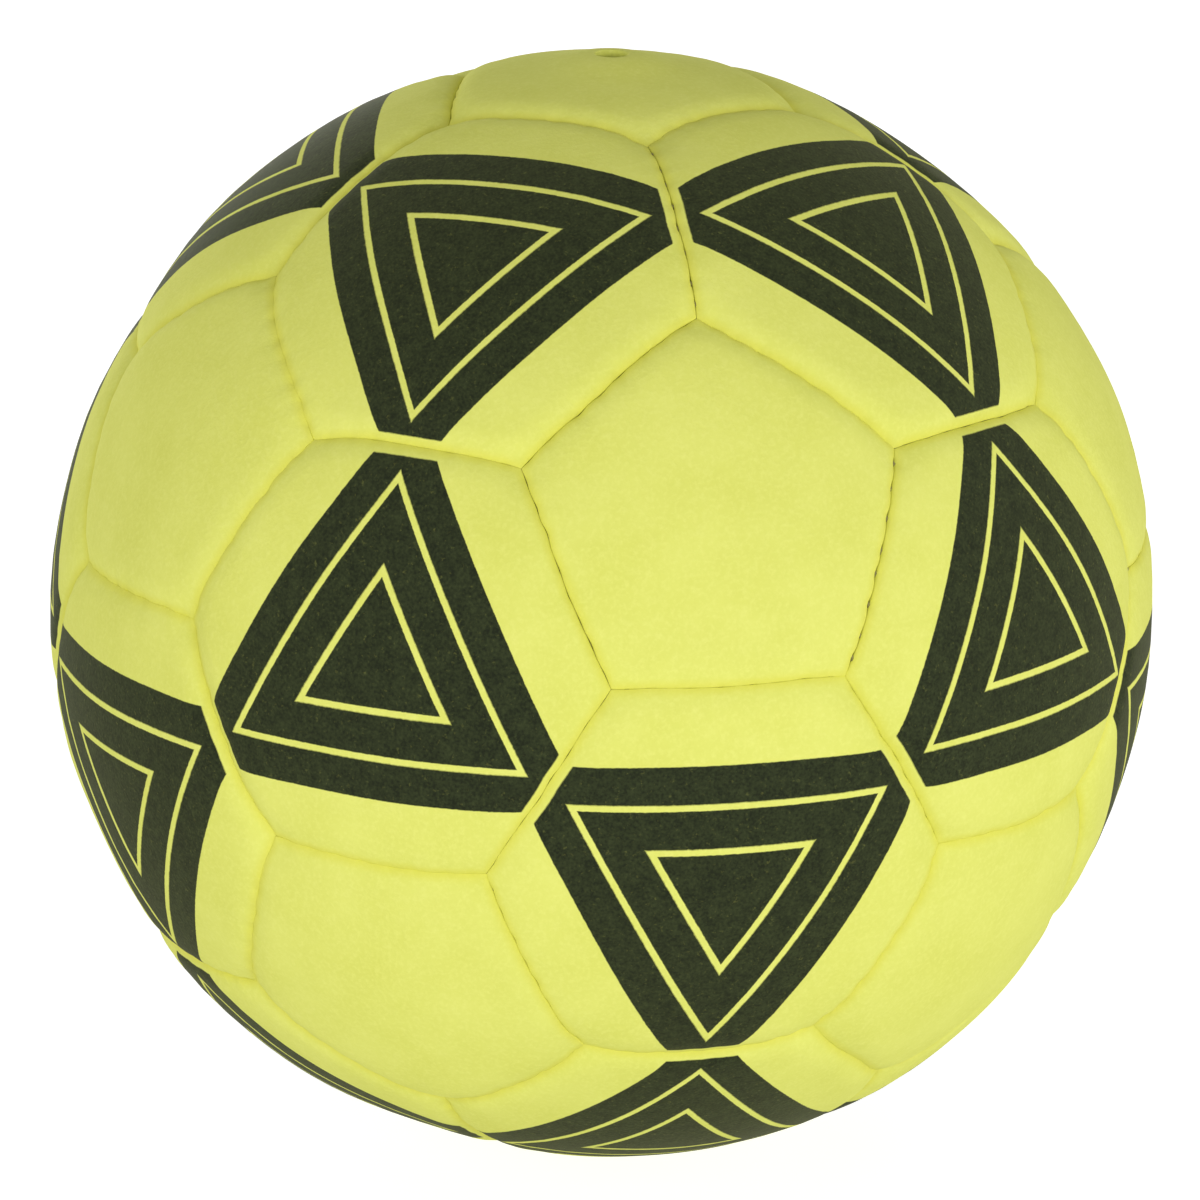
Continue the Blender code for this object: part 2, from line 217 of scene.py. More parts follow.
# What a stitch does to the felt: it sinks it, draws it along the seam's wander and jogs, and parts the edges.
PUCKER = 0.30
PUCKER_LENGTH = 1.25  # along the seam
PUCKER_REACH = 1.9  # away from the seam, as the reaches below
WANDER_REACH = 9.0
JOG_LENGTH = 2.0
JOG_REACH = 3.0
STITCH_GAP = (0.005, 0.13)  # at a shut seam's stitches, and what a slack one adds
STITCH_GAP_POWER = 0.55
EDGE_GAP = (0.003, 0.06)  # to each side of a shut seam, and what a slack one adds
EDGE_GAP_REACH = 2.0

# A panel's grid has columns round it and rows from its middle out. Each row has an inset from the edge,
# whether it follows the face (1) or hangs below the valley (0), and its depth.
COLUMNS = 52  # along one side
SHOULDER_ROWS = 11
EDGE_DEPTH = 2.5  # how far the turned-in edge reaches below the valley
FACE_SHARES = np.array([0.07, 0.15, 0.24, 0.34, 0.46, 0.60, 0.76]) / 0.87  # of the way out to the shoulder
HOLE_SHARES = FACE_SHARES[2:]
HOLE_LIP = ((0.0, 2.0), (0.01, 0.8), (0.06, 0.36), (0.20, 0.11), (0.45, 0.0), (1.2, 0.0), (2.6, 0.0))
LINING_INSETS = (3.4, 7.0)
LINING_SHARE = 0.6  # inset of the next row of the lining, as a share of the way in
HOLE_LINING = 12.0  # or that row's distance from the middle, where there is a hole
ROUND_FROM = 0.8  # share of the way out where a row starts to turn from the polygon into a circle
ROUND_OVER = 0.6
rolled = np.linspace(0, math.pi / 2, SHOULDER_ROWS)[::-1]
shoulder_rows = [(SHOULDER_WIDTH * (1 - math.cos(angle)), 1, 0) for angle in rolled]
edge_rows = [(0.08, 0, 0.5), (0.25, 0, 1.1), (0.60, 0, 2.0), (1.20, 0, EDGE_DEPTH), (2.8, 0, EDGE_DEPTH)]
lining_rows = [(inset, 1, PANEL_THICKNESS) for inset in LINING_INSETS]

# A sewn ball isn't quite round. It waves a little all over, and stands out or in at a few places, each
# given by its direction, height and spread in degrees.
WAVES = 16
WAVE_HEIGHT = 0.055
WAVE_LENGTH = (28, 75)
uneven_waves = unit(chance.normal(size=(WAVES, 3))) * (2 * math.pi / chance.uniform(*WAVE_LENGTH, (WAVES, 1)))
uneven_phase = chance.uniform(0, 2 * math.pi, WAVES)
settled = [
    ((-0.9, 0.3, 0.4), -1.0, 30), ((0.5, -0.3, -0.8), 1.5, 18), ((0.9, -0.4, -0.2), -1.0, 20),
    ((0.6, 0.1, 0.8), -0.6, 15), ((-0.8, 0.3, 0.5), -1.0, 10), ((-0.3, -0.3, -0.9), -0.9, 15),
    ((-0.9, 0.0, -0.4), -1.0, 10),
]


def unevenness(rays):
    """How far the felt stands off the true ball along each ray: the sum of sixteen plane waves, mostly under
    0.3 mm high together, and of height * exp(-(angle / spread)^2) for each settled place."""
    waves = WAVE_HEIGHT * np.cos(SEAM_RADIUS * rays @ uneven_waves.T + uneven_phase).sum(axis=-1)
    towards, height, spread = (np.array(values) for values in zip(*settled))
    angles = np.degrees(np.arccos(np.clip(rays @ unit(towards).T, -1, 1)))
    return waves + (height * np.exp(-(angles / spread) ** 2)).sum(axis=-1)


def corner_dip(rays):
    """How far the felt is pulled in along each ray: dip * exp(-(distance / spread)^2) from each corner."""
    distance = SEAM_RADIUS * np.arccos(np.clip(rays @ drawn(corner_rays).T, -1, 1))
    return CORNER_DIP * np.exp(-(distance / CORNER_SPREAD) ** 2).sum(axis=-1)


def panel_rows(reach, hole):
    """Insets, follows and depths of a panel's rows, each as a column, from the middle of its face or the wall
    of its hole, over the edge, to the middle of the lining or back to the hole."""
    shares = HOLE_SHARES if hole else FACE_SHARES
    face_rows = [(reach - (reach - SHOULDER_WIDTH) * share, 1, 0) for share in shares]
    if hole:
        start_rows = [(reach - VALVE_HOLE_RADIUS - out, 1, depth) for out, depth in HOLE_LIP]
        end_insets = (reach - HOLE_LINING, reach - VALVE_HOLE_RADIUS)
    else:
        start_rows = [(reach, 1, 0)]
        end_insets = (reach * LINING_SHARE, reach)
    end_rows = [(inset, 1, PANEL_THICKNESS) for inset in end_insets]
    return np.array(start_rows + face_rows + shoulder_rows + edge_rows + lining_rows + end_rows).T[..., None]


def panel_grid(ids, swell, hole):
    """Points of one panel and its flat pattern, as rows from the middle of the face over the edge to
    the middle of the lining, by columns once round.

    The flat polygon between the corners shrinks towards its middle from row to row, and rounds off. With
    gap as the distance to a side, a point moves across that side by its seam's wander, the sum of
    size * sin(n * pi * place / length), and by its jogs, and back from it by what the edges part there.
    It then goes out along its ray from the ball's middle to the radius
    valley + drop * product over the sides of (1 - depth * fall) + rise * (1 - gauge^2),
    where the fall is 1 - (1 - (1 - gap / width)^2)^roll, with a roll of each seam's own, and the gauge is 0
    in the middle and 1 on the edge, less a pucker round each stitch and the dip at each corner. Round the
    valve's hole it also rises by lift * cos^2 of the distance from the hole.
    """
    corners = SEAM_RADIUS * np.array([corner(*pair) for pair in ids])
    axis = unit(corners.sum(axis=0))
    height = corners[0] @ axis
    flat = corners - height * axis
    onward = np.roll(flat, -1, axis=0)
    reach = np.linalg.norm(flat[0] + flat[1]) / 2
    outward = (flat + onward) / (2 * reach)
    along = unit(onward - flat)

    inset, follow, depth = panel_rows(reach, hole)
    step = np.arange(COLUMNS)[:, None] / COLUMNS
    rim = (flat[:, None] * (1 - step) + onward[:, None] * step).reshape(-1, 3)
    share = (1 - inset / reach)[..., None]
    rounding = np.clip((ROUND_FROM - share) / ROUND_OVER, 0, 1)
    at = rim * share * (1 - rounding) + unit(rim) * reach * share * rounding
    pattern = at

    gap = reach - np.einsum("rcx,sx->src", at, outward)
    pull = np.zeros_like(gap)
    shoulder = np.ones_like(gap[0])
    for side, ends in enumerate(zip(ids, ids[1:] + ids[:1])):
        seam = seams[tuple(sorted(ends))]
        slack = seam["slack"]
        way = 1 if ends[0] < ends[1] else -1
        place = at @ along[side] * way + SEAM_LENGTH / 2
        off = place[..., None] - seam["stitches"]
        pull[side] = (seam["pull"] * np.exp(-(off / PUCKER_LENGTH) ** 2)).sum(axis=-1)
        pull[side] *= np.exp(-gap[side] / PUCKER_REACH)

        along_it = np.clip(place / SEAM_LENGTH, 0, 1) * math.pi
        wander = sum(size * np.sin((turns + 1) * along_it) for turns, size in enumerate(seam["wander"]))
        wander = wander * np.exp(-gap[side] / WANDER_REACH)
        jog = (seam["jog"] * np.exp(-(off / JOG_LENGTH) ** 2)).sum(axis=-1) * np.exp(-gap[side] / JOG_REACH)
        parted = (STITCH_GAP[0] + STITCH_GAP[1] * slack ** STITCH_GAP_POWER) * pull[side]
        parted = parted + (EDGE_GAP[0] + EDGE_GAP[1] * slack) * np.exp(-gap[side] / EDGE_GAP_REACH)
        shift = way * (wander + jog) - parted
        at = at + outward[side] * shift[..., None]

        roll = max(SHOULDER_ROLL[0] - ROLL_LOSS * slack, SHOULDER_ROLL[1])
        fall = 1 - (1 - (1 - np.clip(gap[side] / SHOULDER_WIDTH, 0, 1)) ** 2) ** roll
        shoulder = shoulder * (1 - seam["depth"] * fall)

    gauge = (np.clip(1 - gap / reach, 0, None) ** CROWN_POWER).sum(axis=0) ** (1 / CROWN_POWER)
    rise = SHOULDER_DROP * shoulder + (CROWN_RISE + swell) * (1 - np.clip(gauge, 0, 1) ** 2)
    if hole:
        from_hole = np.linalg.norm(pattern, axis=-1) - VALVE_HOLE_RADIUS
        lifted = np.clip(from_hole / (VALVE_LIFT_REACH - VALVE_HOLE_RADIUS), 0, 1)
        rise = rise + VALVE_LIFT * np.cos(math.pi / 2 * lifted) ** 2
    rays = drawn(unit(height * axis + at))
    sunk = PUCKER * pull.sum(axis=0) + corner_dip(rays)
    radius = VALLEY_RADIUS + follow * rise - depth - sunk + unevenness(rays) * (1 - depth / PANEL_THICKNESS)
    points = rays * radius[..., None]
    points[..., 2] = np.maximum(points[..., 2], FLOOR_LEVEL)
    return points, pattern, outward, reach


def closed_skin(grid, ring):
    """Vertices and faces of a grid that closes round its columns. Its first and last rows are single
    points, or, on a ring, its last row runs on into its first."""
    rows, columns = grid.shape[:2]
    index = np.arange(rows * columns).reshape(rows, columns)
    onward = np.roll(index, -1, axis=1)
    below, below_onward = np.roll(index, -1, axis=0), np.roll(onward, -1, axis=0)
    faces = np.stack([index, below, below_onward, onward], axis=-1)
    if ring:
        return grid.reshape(-1, 3), faces.reshape(-1, 4).tolist()
    first, last = 0, (rows - 2) * columns + 1
    vertices = np.vstack([grid[:1, 0], grid[1:-1].reshape(-1, 3), grid[-1:, 0]])
    moved = np.clip(faces - columns + 1, 1, last - 1)
    fan = np.stack([np.full(columns, first), moved[0, :, 1], moved[0, :, 2]], axis=-1)
    end = np.stack([moved[-2, :, 0], np.full(columns, last), moved[-2, :, 3]], axis=-1)
    return vertices, fan.tolist() + moved[1:-2].reshape(-1, 4).tolist() + end.tolist()


scene = bpy.context.scene


def new_piece(name, vertices, faces, material):
    """A smooth mesh object at the origin, from points in millimetres."""
    mesh = bpy.data.meshes.new(name)
    mesh.from_pydata((np.asarray(vertices) * MM).tolist(), [], faces)
    mesh.polygons.foreach_set("use_smooth", np.ones(len(faces), dtype=bool))
    mesh.materials.append(material)
    piece = bpy.data.objects.new(name, mesh)
    scene.collection.objects.link(piece)
    return piece


def linear(code):
    """An sRGB hex colour as the linear RGBA that a shader takes."""
    parts = np.array([int(code[i:i + 2], 16) for i in (1, 3, 5)]) / 255
    return (*np.where(parts <= 0.04045, parts / 12.92, ((parts + 0.055) / 1.055) ** 2.4).tolist(), 1.0)


def add(tree, kind, links=(), **settings):
    """Adds one node. Settings are the node's own, and links pair an input with a value or with another
    node's output."""
    node = tree.nodes.new(kind)
    for name, value in settings.items():
        setattr(node, name, value)
    for socket, value in dict(links).items():
        if isinstance(value, bpy.types.NodeSocket):
            tree.links.new(value, node.inputs[socket])
        else:
            node.inputs[socket].default_value = value
    return node


def new_material(name):
    """An empty node material and its tree."""
    material = bpy.data.materials.new(name)
    material.use_nodes = True
    material.node_tree.nodes.clear()
    return material, material.node_tree


# Needled wool-and-polyester felt with a short sheared nap. It is dead matt, with a fine pebbled
# grain, faint cloudy patches where the nap lies another way, and a soft glow at grazing angles.
FELT = "#E9EC78"
FELT_DEEP = "#E2E56D"
FELT_PALE = "#F1F389"
SEAM_SHADE_COLOUR = "#E2DF55"  # painted shade: a darker, more saturated yellow for the felt down in the seams, where the crease is shaded
SEAM_SHADE_WIDTH = 2.2
GRAIN = 0.9  # tufts of the nap; the real ones, near 0.3 mm, wouldn't show at this distance
FIBRE = 2.6  # strands that lie together
CLOUD = 14.0
NAP_HEIGHT = 0.12

felt, tree = new_material("sheared_needle_felt")
place = add(tree, "ShaderNodeTexCoord").outputs["Object"]
grain = add(tree, "ShaderNodeTexNoise", {
    "Vector": place, "Scale": 1 / (GRAIN * MM), "Detail": 2.0, "Roughness": 0.65,
})
cloud = add(tree, "ShaderNodeTexNoise", {
    "Vector": place, "Scale": 1 / (CLOUD * MM), "Detail": 3.0, "Roughness": 0.6,
})
fibre = add(tree, "ShaderNodeTexNoise", {
    "Vector": place, "Scale": 1 / (FIBRE * MM), "Detail": 4.0, "Roughness": 0.7,
})
tone = add(tree, "ShaderNodeMapRange", {"Value": cloud.outputs["Fac"], "From Min": 0.3, "From Max": 0.7})
clouded = add(tree, "ShaderNodeMix", {
    "Factor": tone.outputs["Result"], "A": linear(FELT_DEEP), "B": linear(FELT),
}, data_type="RGBA")
speck = add(tree, "ShaderNodeMapRange", {
    "Value": grain.outputs["Fac"], "From Min": 0.45, "From Max": 0.8, "To Max": 0.55,
})
napped = add(tree, "ShaderNodeMix", {
    "Factor": speck.outputs["Result"], "A": clouded.outputs["Result"], "B": linear(FELT_PALE),
}, data_type="RGBA")
# Painted shade: near each seam the felt colour is mixed toward a darker yellow, most at the seam itself, to
# stand for the shade in the crease.
edge = add(tree, "ShaderNodeAttribute", attribute_name="from_seam")
in_seam_shade = add(tree, "ShaderNodeMapRange", {
    "Value": edge.outputs["Fac"], "From Max": SEAM_SHADE_WIDTH, "To Min": 0.6, "To Max": 0.0,
}, interpolation_type="SMOOTHSTEP")
felt_with_seam_shade = add(tree, "ShaderNodeMix", {
    "Factor": in_seam_shade.outputs["Result"], "A": napped.outputs["Result"], "B": linear(SEAM_SHADE_COLOUR),
}, data_type="RGBA")

# Screen-printed stripes run along the hexagon's sides that meet pentagons and are mitred where they meet,
# so they nest, and the innermost is filled. Ink sits on the nap's tips, so its edges are slightly ragged
# and some fibres show through as pale specks.
INK = "#1B2113"
INK_WORN = "#384025"
LINT = 0.55  # broken fibres that rubbing has left on the ink
STRIPE = 7.0
STRIPE_GAP = 1.1
STRIPE_START = 14.0  # from a pentagon's seam to the first stripe
STRIPES = 3
STRIPE_MARGIN = 1.8  # left bare along a seam between two hexagons
FRAY = 0.14  # over which the ink's edge fades, to each side
RAGGED = 0.06  # that the nap's tufts carry the edge out or in

sides = add(tree, "ShaderNodeAttribute", attribute_name="from_pentagons")
three = add(tree, "ShaderNodeSeparateXYZ", {"Vector": sides.outputs["Vector"]})
least = add(tree, "ShaderNodeMath", {0: three.outputs["X"], 1: three.outputs["Y"]}, operation="MINIMUM")
least = add(tree, "ShaderNodeMath", {0: least.outputs[0], 1: three.outputs["Z"]}, operation="MINIMUM")
ragged = add(tree, "ShaderNodeMapRange", {
    "Value": grain.outputs["Fac"], "From Min": 0.25, "From Max": 0.75, "To Min": -RAGGED, "To Max": RAGGED,
})
frayed = add(tree, "ShaderNodeMath", {0: least.outputs[0], 1: ragged.outputs["Result"]}, operation="ADD")
counted = add(tree, "ShaderNodeMath", {0: frayed.outputs[0], 1: STRIPE_START}, operation="SUBTRACT")
pitch = STRIPE + STRIPE_GAP
last_middle = (STRIPES - 1) * pitch + STRIPE / 2
filled = add(tree, "ShaderNodeMath", {0: counted.outputs[0], 1: last_middle}, operation="MINIMUM")
across = add(tree, "ShaderNodeMath", {0: filled.outputs[0], 1: pitch}, operation="FLOORED_MODULO")
from_middle = add(tree, "ShaderNodeMath", {0: across.outputs[0], 1: STRIPE / 2}, operation="SUBTRACT")
from_middle = add(tree, "ShaderNodeMath", {0: from_middle.outputs[0]}, operation="ABSOLUTE")
in_stripe = add(tree, "ShaderNodeMapRange", {
    "Value": from_middle.outputs[0], "From Min": STRIPE / 2 - FRAY, "From Max": STRIPE / 2 + FRAY,
    "To Min": 1.0, "To Max": 0.0,
})
begun = add(tree, "ShaderNodeMapRange", {"Value": counted.outputs[0], "From Min": -FRAY, "From Max": FRAY})
margin = add(tree, "ShaderNodeAttribute", attribute_name="from_hexagons")
margin = add(tree, "ShaderNodeMath", {0: margin.outputs["Fac"], 1: ragged.outputs["Result"]}, operation="ADD")
clear = add(tree, "ShaderNodeMapRange", {
    "Value": margin.outputs[0], "From Min": STRIPE_MARGIN - FRAY, "From Max": STRIPE_MARGIN + FRAY,
})
bare = add(tree, "ShaderNodeMapRange", {
    "Value": grain.outputs["Fac"], "From Min": 0.62, "From Max": 0.86, "To Min": 1.0, "To Max": 0.88,
})
inked = in_stripe
for limit in (begun, clear, bare):
    shares = {0: inked.outputs[0], 1: limit.outputs["Result"]}
    inked = add(tree, "ShaderNodeMath", shares, operation="MULTIPLY")
lint = add(tree, "ShaderNodeTexNoise", {"Vector": place, "Scale": 1 / (LINT * MM), "Detail": 1.0})
rubbed = add(tree, "ShaderNodeMath", {0: fibre.outputs["Fac"], 1: lint.outputs["Fac"]}, operation="ADD")
wear = add(tree, "ShaderNodeMapRange", {"Value": rubbed.outputs[0], "From Min": 0.75, "From Max": 1.4})
ink = add(tree, "ShaderNodeMix", {
    "Factor": wear.outputs["Result"], "A": linear(INK), "B": linear(INK_WORN),
}, data_type="RGBA")
colour = add(tree, "ShaderNodeMix", {
    "Factor": inked.outputs[0], "A": felt_with_seam_shade.outputs["Result"], "B": ink.outputs["Result"],
}, data_type="RGBA")

relief = add(tree, "ShaderNodeBump", {
    "Height": fibre.outputs["Fac"], "Strength": 0.5, "Distance": NAP_HEIGHT * MM,
})
relief = add(tree, "ShaderNodeBump", {
    "Height": grain.outputs["Fac"], "Strength": 0.8, "Distance": NAP_HEIGHT * MM,
    "Normal": relief.outputs["Normal"],
})
matt = add(tree, "ShaderNodeMapRange", {"Value": inked.outputs[0], "To Min": 0.96, "To Max": 0.80})
surface = add(tree, "ShaderNodeBsdfPrincipled", {
    "Base Color": colour.outputs["Result"], "Roughness": matt.outputs["Result"],
    "Normal": relief.outputs["Normal"], "IOR": 1.45, "Specular IOR Level": 0.15,
    "Sheen Weight": 0.06, "Sheen Roughness": 0.6, "Sheen Tint": linear(FELT_PALE),
})
add(tree, "ShaderNodeOutputMaterial", {"Surface": surface.outputs["BSDF"]})

# The pattern is kept flat, as it was printed, with each sheet laid a little askew under the screen.
PRINT_TURN = 0.4  # in degrees
PRINT_SLIP = 0.35
for name, ids in panels.items():
    hole = name == "valve_panel"
    swell = VALVE_SWELL if hole else chance.uniform(-SWELL, SWELL)
    grid, pattern, outward, reach = panel_grid(ids, swell, hole)
    vertices, faces = closed_skin(grid, hole)
    piece = new_piece(f"felt_{name}", vertices, faces, felt)

    askew = np.radians(chance.normal(0, PRINT_TURN))
    slipped = outward[0] * chance.normal(0, PRINT_SLIP)
    slipped = slipped + outward[1] * chance.normal(0, PRINT_SLIP)
    axis = unit(np.cross(outward[0], outward[1]))
    printed = pattern * math.cos(askew) + np.cross(axis, pattern) * math.sin(askew) + slipped
    to_sides = reach - np.einsum("rcx,sx->src", printed, outward)
    from_seam = (reach - np.einsum("rcx,sx->src", pattern, outward)).min(axis=0)
    kept = {"from_seam": from_seam[..., None]}
    if len(ids) == 6:
        kept["from_pentagons"] = np.moveaxis(to_sides[1::2], 0, -1)
        kept["from_hexagons"] = to_sides[0::2].min(axis=0)[..., None]
    for key, values in kept.items():
        width = values.shape[-1]
        if not hole:
            values = np.concatenate([values[:1, 0], values[1:-1].reshape(-1, width), values[-1:, 0]])
        kind, field = ("FLOAT_VECTOR", "vector") if width == 3 else ("FLOAT", "value")
        attribute = piece.data.attributes.new(key, kind, "POINT")
        attribute.data.foreach_set(field, values.astype(np.float32).ravel())

    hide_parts(name)
    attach(piece, "root")

# Sewing thread. Waxed polyester, run along each seam under the turned-in edges and drawn across it
# at every stitch. Two halves are sewn first, and a last thread closes them round the middle.
THREAD_RADIUS = 0.36
THREAD_SIDES = 6
RUN_RADIUS = 103.9  # under the edges, where the thread lies along the seam
RUN_SHARES = np.linspace(0.02, 0.98, 13)  # of the way along the seam
STITCH_POINTS = 7
STITCH_REACH = 0.85  # to each side of the seam
STITCH_SLANT = (1.1, 0.3)  # along the seam for each step across it, and how much that varies
STITCH_DEPTH = 1.15  # below the valley, where the seam is shut
STITCH_RISE = 0.75  # nearer to it, where the seam is slack
STITCH_ARCH = 1.1  # from a stitch's middle down to its ends
UPPER_ROWS = ("valve", "crown", "upper")


def thread_tubes(paths, outward):
    """Round tubes along many paths at once: each point of a path carries a circle that is square to the
    path, drawn from the outward direction there and from the cross product of the two."""
    forward = unit(np.gradient(paths, axis=1))
    side = unit(np.cross(forward, outward))
    up = np.cross(side, forward)
    turn = np.linspace(0, 2 * math.pi, THREAD_SIDES, endpoint=False)[:, None]
    circle = np.cos(turn) * side[:, :, None] + np.sin(turn) * up[:, :, None]
    return paths[:, :, None] + THREAD_RADIUS * circle


def tube_skin(tubes, start):
    """Vertices and faces of many tubes, each a grid of rows by columns, closed by a flat face at each end.
    Their vertices are counted from start."""
    count, rows, columns = tubes.shape[:3]
    index = start + np.arange(count * rows * columns).reshape(count, rows, columns)
    here, there = index[:, :-1], index[:, 1:]
    walls = np.stack([here, there, np.roll(there, -1, axis=2), np.roll(here, -1, axis=2)], axis=-1)
    faces = walls.reshape(-1, 4).tolist() + index[:, 0].tolist() + index[:, -1, ::-1].tolist()
    return tubes.reshape(-1, 3), faces


def mottled(name, dark, light, spot, detail, strength, depth, roughness, ior):
    """A material that wavers between two colours in spots of one size, with a shallow relief to match."""
    material, tree = new_material(name)
    place = add(tree, "ShaderNodeTexCoord").outputs["Object"]
    spots = add(tree, "ShaderNodeTexNoise", {"Vector": place, "Scale": 1 / (spot * MM), "Detail": detail})
    shade = add(tree, "ShaderNodeMix", {
        "Factor": spots.outputs["Fac"], "A": linear(dark), "B": linear(light),
    }, data_type="RGBA")
    relief = add(tree, "ShaderNodeBump", {
        "Height": spots.outputs["Fac"], "Strength": strength, "Distance": depth * MM,
    })
    surface = add(tree, "ShaderNodeBsdfPrincipled", {
        "Base Color": shade.outputs["Result"], "Roughness": roughness, "IOR": ior,
        "Normal": relief.outputs["Normal"],
    })
    add(tree, "ShaderNodeOutputMaterial", {"Surface": surface.outputs["BSDF"]})
    return material


# Twisted strands show as short light and dark turns, with the low dull shine of wax.
thread = mottled(
    "waxed_polyester_thread", dark="#625E2A", light="#989248", spot=0.6, detail=2.0,
    strength=0.5, depth=0.1, roughness=0.6, ior=1.5,
)

sewn = {"upper_half_thread": [], "lower_half_thread": [], "closing_thread": []}
for ends, seam in seams.items():
    first, second = (panel.startswith(UPPER_ROWS) for panel in seam["over"])
    half = "upper_half_thread" if first else "lower_half_thread"
    sewn[half if first == second else "closing_thread"].append(ends)
for name, members in sewn.items():
    first = np.array([corner(*ends[0]) for ends in members])[:, None]
    last = np.array([corner(*ends[1]) for ends in members])[:, None]
    across = unit(np.cross(first, last))

    share = RUN_SHARES[None, :, None]
    rays = drawn(unit(first * (1 - share) + last * share))
    runs = thread_tubes(rays * RUN_RADIUS, rays)

    share = np.array([seams[ends]["stitches"] for ends in members])[..., None] / SEAM_LENGTH
    rays = drawn(unit(first * (1 - share) + last * share))
    along = np.cross(across, rays)
    slant = chance.normal(*STITCH_SLANT, share.shape)
    wander, jog, slack, depth = (
        np.array([seams[ends][key] for ends in members]) for key in ("wander", "jog", "slack", "depth")
    )
    waves = np.sin(np.arange(1, len(WANDER) + 1) * math.pi * share)
    drift = (wander[:, None] * waves).sum(axis=-1, keepdims=True) + jog[..., None]
    step = np.linspace(-1, 1, STITCH_POINTS)[:, None]
    slack, depth = slack[:, None, None, None], depth[:, None, None, None]
    stands = (unevenness(rays) - corner_dip(rays))[..., None, None]
    valley = VALLEY_RADIUS + SHOULDER_DROP * (1 - depth) + stands
    radius = valley - STITCH_DEPTH + STITCH_RISE * slack - STITCH_ARCH * step ** 2
    course = (across[:, :, None] + slant[:, :, None] * along[:, :, None]) * STITCH_REACH * step
    paths = rays[:, :, None] * radius + course - (across * drift)[:, :, None]
    outward = np.repeat(rays.reshape(-1, 1, 3), STITCH_POINTS, axis=1)
    stitches = thread_tubes(paths.reshape(-1, STITCH_POINTS, 3), outward)

    run_vertices, run_faces = tube_skin(runs, 0)
    stitch_vertices, stitch_faces = tube_skin(stitches, len(run_vertices))
    vertices = np.vstack([run_vertices, stitch_vertices])
    piece = new_piece(f"sewn_{name}", vertices, run_faces + stitch_faces, thread)
    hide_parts(name)
    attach(piece, "root")

# Bladder and valve. A dipped latex bladder fills the cover and presses on its lining, with a moulded
# rubber valve body bonded under the top panel and a softer plug in it that a pump needle parts.
# The CAD solids have their right shapes, so they only take a finish here.
finishes = {
    # Latex runs as it dries, which leaves broad amber clouds under a half-matt skin.
    "bladder": mottled(
        "dipped_latex", dark="#B8935C", light="#D0AE76", spot=18.0, detail=3.0,
        strength=0.3, depth=0.2, roughness=0.55, ior=1.52,
    ),
    # Filled black rubber blooms to a patchy dark grey.
    "valve_body": mottled(
        "moulded_valve_rubber", dark="#2A2A28", light="#3C3C38", spot=1.4, detail=3.0,
        strength=0.3, depth=0.05, roughness=0.7, ior=1.52,
    ),
    # The plug is dyed to go with the felt, and has the same dry bloom.
    "valve_plug": mottled(
        "moulded_plug_rubber", dark="#BEC253", light="#D0D368", spot=1.4, detail=3.0,
        strength=0.3, depth=0.05, roughness=0.7, ior=1.52,
    ),
}
for name, finish in finishes.items():
    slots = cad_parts[name].data.materials
    slots.clear()
    slots.append(finish)

# Floor and light. A sheet of matt white paper, lit from beneath like a light table, in an even pale room.
# Four soft boxes light the ball: a wide one under the camera, one behind, and a smaller one at each side.
SHEET = 8.0  # metres, as are the boxes' places and sizes
GLOW = 0.33
SEEN_GLOW = 0.51  # more, where the sheet is looked at, so that it is white there
ROOM = 0.34
WHITE = (1, 1, 1, 1)
SOFT_BOXES = (
    # name, place, size and power in watts
    ("front_soft_box", (0.10, -1.70, 0.08), (1.4, 1.0), 18.9),
    ("left_soft_box", (-1.40, -0.50, 0.25), (0.9, 0.9), 5.4),
    ("right_soft_box", (1.40, -0.50, 0.25), (0.9, 0.9), 5.0),
    ("back_soft_box", (-0.35, 1.70, 0.20), (1.4, 1.0), 12.5),
)


def looked_at(tree):
    """Gives 1 where the camera looks at a surface, straight, in a gloss or through glass, and else 0."""
    rays = add(tree, "ShaderNodeLightPath")
    seen = rays.outputs["Is Camera Ray"]
    for other in ("Is Glossy Ray", "Is Transmission Ray"):
        seen = add(tree, "ShaderNodeMath", {0: seen, 1: rays.outputs[other]}, operation="MAXIMUM").outputs[0]
    return seen


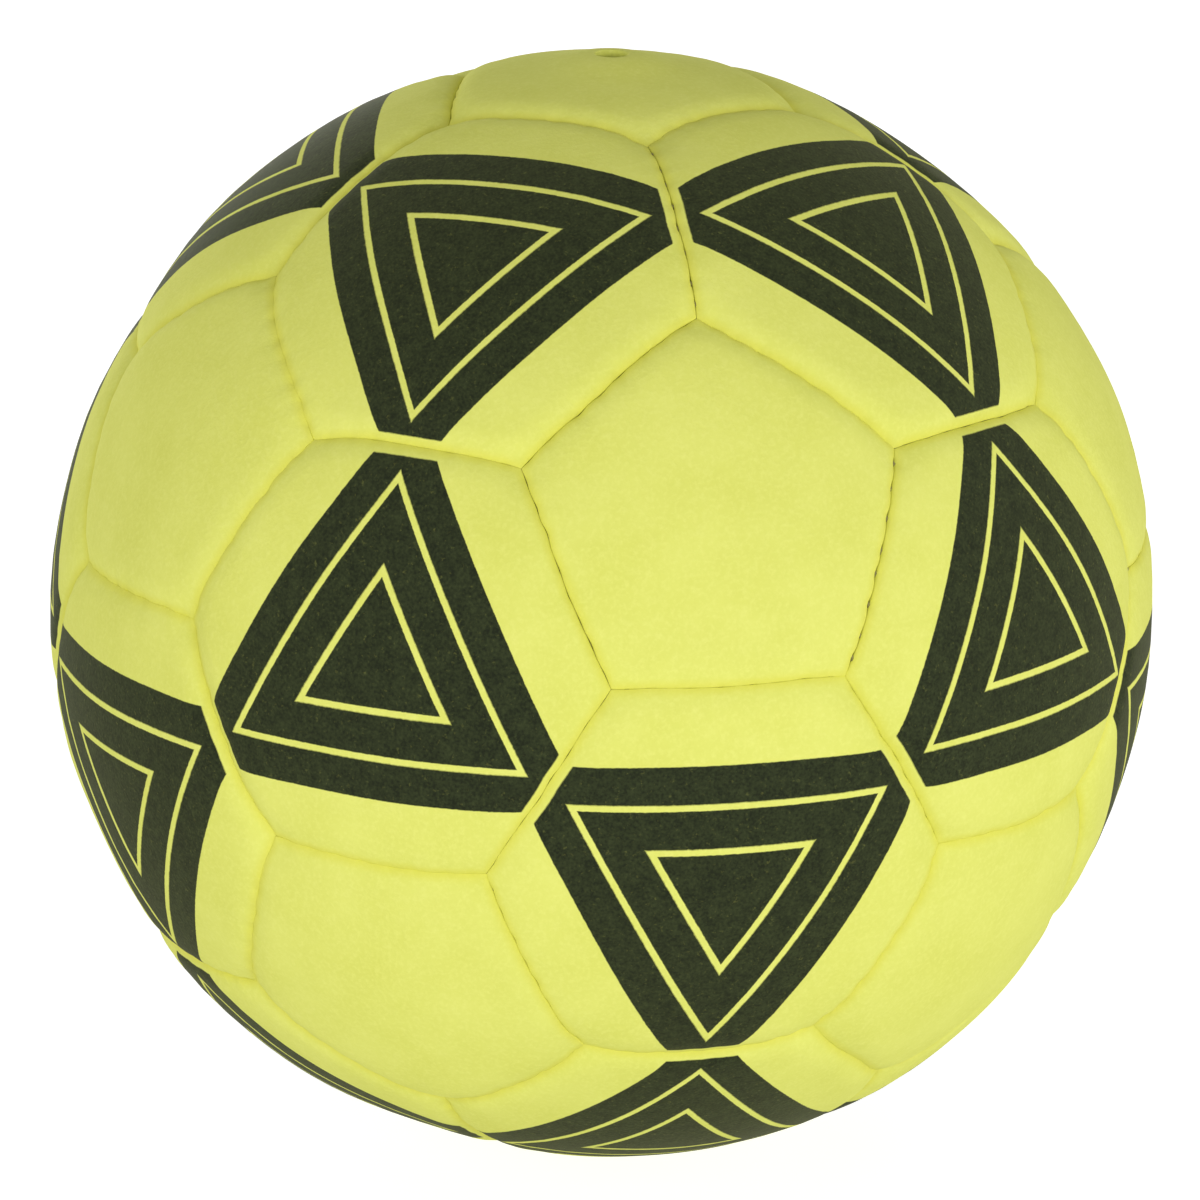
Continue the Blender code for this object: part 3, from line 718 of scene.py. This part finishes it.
floor_mesh = bpy.data.meshes.new("floor")
low = cad_box[0].z
sheet_corners = [(x * SHEET / 2, y * SHEET / 2, low) for x, y in ((-1, -1), (1, -1), (1, 1), (-1, 1))]
floor_mesh.from_pydata(sheet_corners, [], [(0, 1, 2, 3)])
floor = bpy.data.objects.new("floor", floor_mesh)
scene.collection.objects.link(floor)
sheet, tree = new_material("white_paper_sheet")
top_up = add(tree, "ShaderNodeMath", {0: looked_at(tree), 1: SEEN_GLOW, 2: GLOW}, operation="MULTIPLY_ADD")
surface = add(tree, "ShaderNodeBsdfPrincipled", {
    "Base Color": linear("#BDBDBB"), "Roughness": 0.9, "Specular IOR Level": 0.1,
    "Emission Color": WHITE, "Emission Strength": top_up.outputs[0],
})
add(tree, "ShaderNodeOutputMaterial", {"Surface": surface.outputs["BSDF"]})
floor_mesh.materials.append(sheet)

world = bpy.data.worlds.new("pale_room")
world.use_nodes = True
tree = world.node_tree
tree.nodes.clear()
room = add(tree, "ShaderNodeBackground", {"Color": WHITE, "Strength": ROOM})
white = add(tree, "ShaderNodeBackground", {"Color": WHITE, "Strength": 1.0})
mixed = add(tree, "ShaderNodeMixShader", {0: looked_at(tree), 1: room.outputs[0], 2: white.outputs[0]})
add(tree, "ShaderNodeOutputWorld", {"Surface": mixed.outputs[0]})
scene.world = world

for name, spot, size, power in SOFT_BOXES:
    lamp = bpy.data.lights.new(name, "AREA")
    lamp.shape = "RECTANGLE"
    lamp.size, lamp.size_y = size
    lamp.energy = power
    box = bpy.data.objects.new(name, lamp)
    box.location = spot
    box.rotation_euler = Vector(spot).to_track_quat("Z", "Y").to_euler()
    box.visible_camera = False
    scene.collection.objects.link(box)

# Camera. A long lens that looks down a little on the ball's front, from a shade to its left, and is held
# almost level.
TOWARDS_CAMERA = Vector((-0.2169, -0.9261, 0.3087)).normalized()
CAMERA_DISTANCE = 1.2  # metres
FOCAL_LENGTH = 181.06
SENSOR_WIDTH = 36
FRAMING = (-0.0012, 0.0035)  # shift of the lens to the side and up
ROLL = 1.0  # degrees
lens = bpy.data.cameras.new("camera")
lens.sensor_width = SENSOR_WIDTH
lens.lens = FOCAL_LENGTH
lens.shift_x, lens.shift_y = FRAMING
camera = bpy.data.objects.new("camera", lens)
to_right = Vector((0, 0, 1)).cross(TOWARDS_CAMERA).normalized()
upright = TOWARDS_CAMERA.cross(to_right)
turned = Matrix((to_right, upright, TOWARDS_CAMERA)).transposed().to_4x4()
rolled_over = Matrix.Rotation(math.radians(ROLL), 4, "Z")
camera.matrix_world = Matrix.Translation(TOWARDS_CAMERA * CAMERA_DISTANCE) @ turned @ rolled_over
scene.collection.objects.link(camera)
scene.camera = camera
scene.view_settings.view_transform = "Standard"
